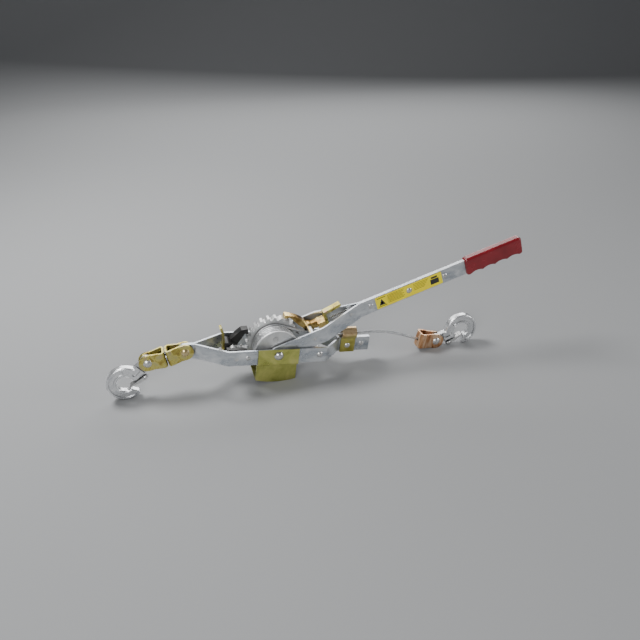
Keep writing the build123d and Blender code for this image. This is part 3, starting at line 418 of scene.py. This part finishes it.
def rope_core():
    material, tree, shader = new_material("rope_core")
    cloud = noise(tree, coordinates(tree), 300.0)
    colour = ramp(tree, cloud, (0.3, (0.16, 0.16, 0.16)), (0.7, (0.28, 0.28, 0.28)))
    tree.links.new(colour, shader.inputs["Base Color"])
    shader.inputs["Metallic"].default_value = 0.6
    shader.inputs["Roughness"].default_value = 0.6
    return material


def printed(name, dark, light, roughness=0.32):
    """An ink or film with faint unevenness."""
    material, tree, shader = new_material(name)
    cloud = noise(tree, coordinates(tree), 55.0, 4.0)
    tree.links.new(ramp(tree, cloud, (0.3, dark), (0.7, light)), shader.inputs["Base Color"])
    shader.inputs["Roughness"].default_value = roughness
    shader.inputs["Coat Weight"].default_value = 0.3
    return material


ZINC = galvanized()
YELLOW = yellow_zinc()
GUARD = guard_zinc()
COPPER = copper_zinc()
GUIDE = guide_zinc()
FORGED = forged()
DRUM = cast_drum()
BRIGHT = bright_steel()
GOLD = gold_steel()
BRONZE = bronze()
BLACK = black_casting()
SPRING = spring_steel()
BRASS = brass_bush()
VINYL = vinyl()
ROPE = rope_steel()
ROPE_CORE = rope_core()
LABEL_YELLOW = printed("label_yellow", (0.96, 0.76, 0.0), (1.0, 0.86, 0.0))
LABEL_BLACK = printed("label_black", (0.012, 0.012, 0.012), (0.03, 0.03, 0.03), 0.4)

FINISHES = {
    "frame_strap_near": ZINC,
    "frame_strap_far": ZINC,
    "frame_spacer": BRIGHT,
    "frame_rivets": BRIGHT,
    "drum_guard": GUARD,
    "axle_bolt": BRIGHT,
    "axle_nut": BRIGHT,
    "cable_guide": GUIDE,
    "cable_guide_rivet": BRIGHT,
    "cable_drum": DRUM,
    "cable_clamp_screw": BRIGHT,
    "drum_bush": BRASS,
    "cable_winding": ROPE_CORE,
    "cable_lead": ROPE_CORE,
    "cable_free": ROPE_CORE,
    "cable_stop": BRIGHT,
    "handle_strap_near": ZINC,
    "handle_strap_far": ZINC,
    "handle_rivets": BRIGHT,
    "handle_label": LABEL_YELLOW,
    "handle_grip": VINYL,
    "drive_pawl_pin": BRIGHT,
    "drive_pawl_spacer": BRIGHT,
    "drive_pawl": BRONZE,
    "drive_pawl_lever": YELLOW,
    "drive_pawl_spring": SPRING,
    "drive_spring_anchor": BRIGHT,
    "holding_pawl_pin": BRIGHT,
    "holding_pawl": BLACK,
    "holding_pawl_lever": YELLOW,
    "holding_pawl_spring": SPRING,
    "frame_clevis": YELLOW,
    "frame_clevis_pin": GOLD,
    "swivel_rivet": BRIGHT,
    "swivel_washer": BRIGHT,
    "hook_clevis": YELLOW,
    "hook_clevis_pin": BRIGHT,
    "cable_clevis": COPPER,
    "cable_clevis_pin": BRIGHT,
}
for end in ("anchor", "cable"):
    FINISHES[f"{end}_hook"] = FORGED
    FINISHES[f"{end}_latch"] = BRIGHT
    FINISHES[f"{end}_latch_pin"] = BRIGHT
    FINISHES[f"{end}_latch_spring"] = SPRING


def finish_nodes():
    for name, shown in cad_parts.items():
        shown.data.materials.clear()
        shown.data.materials.append(FINISHES[name])


finish_nodes()

# Rope -------------------------------------------------------------------------------------------------------

ROPE_RADIUS = 2.5
CURVE_ORDER = 3
ROPE_ROUTE = [
    (137.5, 0.0, 15.9),
    (150.0, 0.0, 16.8),
    (166.5, 0.0, 17.6),
    (184.0, 0.0, 17.0),
    (201.0, 0.0, 14.6),
    (217.0, 0.0, 10.7),
    (231.5, 0.0, 6.2),
    (243.5, 0.0, 2.1),
    (252.5, 0.0, -0.5),
    (261.3, 0.0, -1.9),
    (269.8, 0.0, -2.9),
]


def curve_object(name, points):
    """A NURBS curve with control points in the row frame."""
    data = bpy.data.curves.new(name, "CURVE")
    data.dimensions = "3D"
    data.resolution_u = 12
    spline = data.splines.new("NURBS")
    spline.points.add(len(points) - 1)
    for target, point in zip(spline.points, points):
        target.co = (*point, 1.0)
    spline.order_u = CURVE_ORDER
    spline.use_endpoint_u = True
    return linked(name, data)


def centreline(name, control):
    """Points along the curve that the control points give; the curve itself isn't kept."""
    curve = curve_object(name, control)
    mesh = bpy.data.meshes.new_from_object(curve)
    points = [vertex.co.copy() for vertex in mesh.vertices]
    bpy.data.meshes.remove(mesh)
    bpy.data.objects.remove(curve)
    return points


def even_points(points, step):
    """Points about step apart along a line."""
    lengths = [0.0]
    for before, after in zip(points, points[1:]):
        lengths.append(lengths[-1] + (after - before).length)
    count = max(2, round(lengths[-1] / step))
    found = []
    index = 0
    for number in range(count + 1):
        target = lengths[-1] * number / count
        while index < len(points) - 2 and lengths[index + 1] < target:
            index += 1
        span = lengths[index + 1] - lengths[index]
        share = (target - lengths[index]) / span if span else 0.0
        found.append(points[index].lerp(points[index + 1], share))
    return found


def carried_frames(points):
    """A pair of cross directions carried along a line without twist."""
    tangents = []
    for index in range(len(points)):
        before = points[max(index - 1, 0)]
        after = points[min(index + 1, len(points) - 1)]
        tangents.append((after - before).normalized())
    side = tangents[0].cross(Vector((0.0, 1.0, 0.0)))
    if side.length < 0.1:
        side = tangents[0].cross(Vector((0.0, 0.0, 1.0)))
    side.normalize()
    frames = []
    for tangent in tangents:
        side = (side - tangent * side.dot(tangent)).normalized()
        frames.append((side, tangent.cross(side)))
    return frames


def tube_mesh(name, lines, radius, sides):
    """One mesh of round tubes along several lines, closed at both ends."""
    vertices = []
    faces = []
    for points in lines:
        start = len(vertices)
        frames = carried_frames(points)
        for point, (side, other) in zip(points, frames):
            for corner in range(sides):
                angle = 2 * pi * corner / sides
                vertices.append(point + radius * (side * cos(angle) + other * sin(angle)))
        rings = len(points)
        for ring in range(rings - 1):
            for corner in range(sides):
                following = (corner + 1) % sides
                low = start + ring * sides
                high = low + sides
                faces.append((low + corner, high + corner, high + following, low + following))
        faces.append(tuple(start + corner for corner in range(sides)))
        last = start + (rings - 1) * sides
        faces.append(tuple(last + corner for corner in reversed(range(sides))))
    mesh = bpy.data.meshes.new(name)
    mesh.from_pydata(vertices, [], faces)
    mesh.update()
    for face in mesh.polygons:
        face.use_smooth = True
    return linked(name, mesh)


STRANDS = 7
STRAND_RADIUS = 0.79
STRAND_SIDES = 6
STRAND_STEP = 1.3
STRAND_CIRCLE = 1.70
CORE_RADIUS = 1.45
CORE_STEP = 2.5
CORE_SIDES = 10
LAY_LENGTH = 34.0


def strand_lines(points):
    """The outer strands of a rope, laid round its centre line."""
    even = even_points(points, STRAND_STEP * MM)
    frames = carried_frames(even)
    lines = []
    for strand in range(STRANDS):
        line = []
        travelled = 0.0
        for index, (point, (side, other)) in enumerate(zip(even, frames)):
            if index:
                travelled += (point - even[index - 1]).length
            angle = 2 * pi * (strand / STRANDS + travelled / (LAY_LENGTH * MM))
            line.append(point + STRAND_CIRCLE * MM * (side * cos(angle) + other * sin(angle)))
        lines.append(line)
    return lines


def stranded(name, points, core_step=CORE_STEP, core_sides=CORE_SIDES):
    """A rope's dark core and its outer strands, as two meshes."""
    strands = tube_mesh(name, strand_lines(points), STRAND_RADIUS * MM, STRAND_SIDES)
    strands.data.materials.append(ROPE)
    core = tube_mesh(f"{name}_core", [even_points(points, core_step * MM)], CORE_RADIUS * MM, core_sides)
    core.data.materials.append(ROPE_CORE)
    return core, strands


def free_rope():
    """The slack rope between the guide and the clevis, with its strands."""
    points = centreline("rope_line", [place(*point) for point in ROPE_ROUTE])
    return join(stranded("free_rope", points)), points


def join(objects):
    """Joins meshes into the last of them."""
    objects = list(objects)
    target = objects[-1]
    with bpy.context.temp_override(active_object=target, selected_editable_objects=objects, object=target):
        bpy.ops.object.join()
    return target


rope, rope_points = free_rope()
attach(rope, "frame")
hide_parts("cable_free")
CORD_PIECES = ["cable_stop", "cable_clevis", "cable_clevis_pin", "cable_hook", "cable_latch"]
CORD_PIECES += ["cable_latch_pin", "cable_latch_spring"]

# Rope on the drum -------------------------------------------------------------------------------------------

BARREL_RADIUS = 15.5
WINDING_NEAR_Y = -19.9
WINDING_FAR_Y = 2.1
LAYERS = 4
TURNS_IN_LAYER = 3.5
TURN_POINTS = 14
LEAD_Y = 5.2
LEAD_RADIUS = 33.0
LEAD_START = 200.0
LEAD_END = 73.0
LEAD_CORNERS = 12
LEAD_TAIL = [(64.0, LEAD_Y, 14.95), (100.0, 0.0, 13.2), ROPE_ROUTE[0]]
PACKED_PAST_TURNS = 2.8
PACKED_SIDES = 72


def winding_line():
    """The top layer of the winding, as a helix that crosses from side to side."""
    points = []
    radius = (BARREL_RADIUS + (LAYERS - 0.5) * 2 * ROPE_RADIUS) / cos(pi / TURN_POINTS)
    total = round(TURNS_IN_LAYER * TURN_POINTS)
    span = WINDING_FAR_Y - WINDING_NEAR_Y - 2 * ROPE_RADIUS
    for index in range(total + 1):
        angle = 2 * pi * index / TURN_POINTS
        y = WINDING_NEAR_Y + ROPE_RADIUS + span * index / total
        points.append(place(radius * cos(angle), y, radius * sin(angle)))
    return points


def winding():
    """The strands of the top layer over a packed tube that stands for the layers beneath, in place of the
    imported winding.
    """
    core, turns = stranded("winding_turns", centreline("winding_line", winding_line()), 3.0, 8)
    packed_line = [place(0, WINDING_NEAR_Y, 0), place(0, WINDING_FAR_Y + PACKED_PAST_TURNS, 0)]
    packed_radius = (BARREL_RADIUS + (LAYERS - 0.75) * 2 * ROPE_RADIUS) * MM
    packed = tube_mesh("winding_packed", [packed_line], packed_radius, PACKED_SIDES)
    packed.data.materials.append(ROPE_CORE)
    join([packed, core, turns])
    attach(turns, "drum")
    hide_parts("cable_winding")


def lead():
    """The last turn beside the ratchet wheel and its run under the drive pawl's pin into the guide."""
    sweep = (LEAD_START - LEAD_END) / LEAD_CORNERS
    corner_radius = LEAD_RADIUS / cos(radians(sweep / 2))
    start = radians(LEAD_START)
    control = [place(LEAD_RADIUS * cos(start), LEAD_Y, LEAD_RADIUS * sin(start))]
    for corner in range(LEAD_CORNERS):
        angle = radians(LEAD_START - (corner + 0.5) * sweep)
        control.append(place(corner_radius * cos(angle), LEAD_Y, corner_radius * sin(angle)))
    control += [place(*point) for point in LEAD_TAIL]
    strands = join(stranded("lead_strands", centreline("lead_line", control)))
    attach(strands, "frame")
    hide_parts("cable_lead")


winding()
lead()

# Label ------------------------------------------------------------------------------------------------------

HANDLE_ANGLE = radians(23.3)
LABEL_FACE_Y = -3.52
LABEL_START = 179.0
INK_OUT = 0.03
INK_IN = 0.02


def on_handle(u, v, y):
    """A point on the handle: u along it, v across it, y from the mid-plane, in millimetres."""
    x = u * cos(HANDLE_ANGLE) - v * sin(HANDLE_ANGLE)
    z = u * sin(HANDLE_ANGLE) + v * cos(HANDLE_ANGLE)
    return place(x, y, z)


def ink(name, outlines, material):
    """Thin printed shapes on the label: each outline is a list of (u, v)."""
    vertices = []
    faces = []
    for outline in outlines:
        first = len(vertices)
        for y in (LABEL_FACE_Y - INK_OUT, LABEL_FACE_Y + INK_IN):
            vertices += [on_handle(u, v, y) for u, v in outline]
        count = len(outline)
        faces.append(tuple(first + corner for corner in range(count)))
        faces.append(tuple(first + count + corner for corner in reversed(range(count))))
        for corner in range(count):
            following = (corner + 1) % count
            near_edge = (first + following, first + corner)
            faces.append((*near_edge, first + count + corner, first + count + following))
    mesh = bpy.data.meshes.new(name)
    mesh.from_pydata(vertices, [], faces)
    mesh.materials.append(material)
    made = linked(name, mesh)
    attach(made, "handle")


def bar(u_start, v_low, length, height):
    return [
        (u_start, v_low),
        (u_start + length, v_low),
        (u_start + length, v_low + height),
        (u_start, v_low + height),
    ]


def ring(u, v, radius, count=24):
    turns = [2 * pi * step / count for step in range(count)]
    return [(u + radius * cos(angle), v + radius * sin(angle)) for angle in turns]


def label_marks():
    black = [
        bar(LABEL_START + 3, -8.5, 15, 1.2),
        bar(LABEL_START + 3, 7.3, 15, 1.2),
        [(LABEL_START + 5, -6.0), (LABEL_START + 16, -6.0), (LABEL_START + 10.5, 6.0)],
        bar(LABEL_START + 98, -6.5, 15, 9.5),
        bar(LABEL_START + 100, 4.0, 11, 3.6),
    ]
    for row in range(7):
        length = 30 - (row * 7) % 5
        black.append(bar(LABEL_START + 21, 7.2 - row * 2.3, length, 0.7))
    for row in range(5):
        length = 27 - (row * 11) % 9
        black.append(bar(LABEL_START + 68, 7.2 - row * 2.6, length, 0.7))
    ink("label_marks", black, LABEL_BLACK)
    ink("label_sign", [ring(LABEL_START + 10.5, -2.2, 2.2)], LABEL_YELLOW)


label_marks()

# Floor and light --------------------------------------------------------------------------------------------


def backdrop():
    """A pale floor that curves up into a wall far behind."""
    mesh = bpy.data.meshes.new("floor")
    reach = 6.0
    bend_start = 2.2
    bend_radius = 1.6
    bend_steps = 24
    rows = [(-reach, 0.0), (bend_start, 0.0)]
    for step in range(1, bend_steps + 1):
        angle = step / bend_steps * pi / 2
        rows.append((bend_start + bend_radius * sin(angle), bend_radius * (1 - cos(angle))))
    rows.append((bend_start + bend_radius, reach))
    vertices = [(x, y, z) for y, z in rows for x in (-reach, reach)]
    faces = [(2 * row, 2 * row + 1, 2 * row + 3, 2 * row + 2) for row in range(len(rows) - 1)]
    mesh.from_pydata(vertices, [], faces)
    for face in mesh.polygons:
        face.use_smooth = True
    made = linked("floor", mesh)
    material, tree, shader = new_material("floor_grey")
    shader.inputs["Base Color"].default_value = (0.33, 0.335, 0.34, 1.0)
    shader.inputs["Roughness"].default_value = 0.9
    shader.inputs["Specular IOR Level"].default_value = 0.1
    mesh.materials.append(material)


def soft_light(name, at, target, size, power):
    """A rectangular lamp that faces its target."""
    data = bpy.data.lights.new(name, "AREA")
    data.shape = "RECTANGLE"
    data.size, data.size_y = size
    data.energy = power
    made = linked(name, data)
    made.location = at
    aim = Vector(target) - Vector(at)
    made.rotation_euler = aim.to_track_quat("-Z", "Y").to_euler()


def studio():
    backdrop()
    middle = (0.0, 0.0, 0.05)
    soft_light("overhead", (-0.7, 0.6, 1.3), middle, (0.6, 0.5), 26.0)
    soft_light("behind", (0.5, 2.0, 1.1), middle, (2.6, 0.9), 34.0)
    soft_light("front", (-0.9, -1.6, 0.9), middle, (0.9, 0.7), 20.0)
    soft_light("right", (1.5, -0.7, 0.6), middle, (0.5, 0.8), 8.0)
    world = bpy.data.worlds.new("studio")
    world.use_nodes = True
    background = world.node_tree.nodes["Background"]
    background.inputs["Color"].default_value = (0.93, 0.95, 1.0, 1.0)
    background.inputs["Strength"].default_value = 0.16
    bpy.context.scene.world = world


studio()
